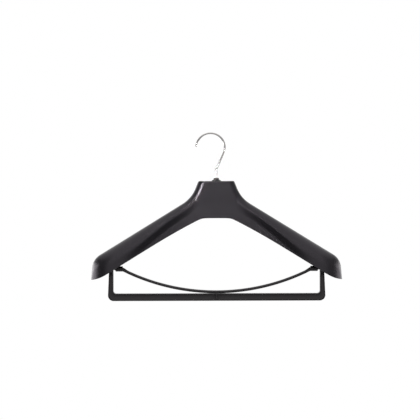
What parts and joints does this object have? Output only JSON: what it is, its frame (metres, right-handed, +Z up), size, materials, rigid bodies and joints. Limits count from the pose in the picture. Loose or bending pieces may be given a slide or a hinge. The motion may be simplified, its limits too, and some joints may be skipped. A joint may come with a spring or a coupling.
{
  "type": "trouser hanger",
  "caption": "Wide-shouldered hollow plastic suit hanger with a U-shaped trouser bar, a bow that clamps trousers onto it, and a chromed swivel hook.",
  "frame": {"origin": "where the inside of the hook's bend rests on top of a rail", "axes": "+Z up, +X along the hanger to the viewer's right, and the front faces -Y"},
  "size_m": [0.4418, 0.0503, 0.2972],
  "materials": {
    "body_plastic": "satin-gloss black moulded plastic",
    "bar_plastic": "satin black moulded plastic",
    "chrome_wire": "bright chromed wire",
    "clear_plastic": "milky clear sleeve",
    "plated_steel": "zinc-plated steel"
  },
  "bodies": {
    "hook": {"hook_wire": "chrome_wire", "stem_sleeve": "clear_plastic", "thrust_washer": "plated_steel", "hook_nut": "plated_steel"},
    "hanger": {"body_shell": "body_plastic", "swivel_collar": "bar_plastic", "trouser_bar": "bar_plastic"},
    "bow": {"clamp_bow": "bar_plastic"}
  },
  "joints": [
    {"name": "hook_swivel", "type": "hinge", "parent": "hook", "child": "hanger", "pos_m": [0.01, 0, -0.0832], "axis": [0, 0, 1], "continuous": true},
    {"name": "bow_swing", "type": "hinge", "parent": "hanger", "child": "bow", "pos_m": [0.01, -0.00707, -0.23769], "axis": [1, 0, 0], "range_deg": [-170, 170]}
  ]
}
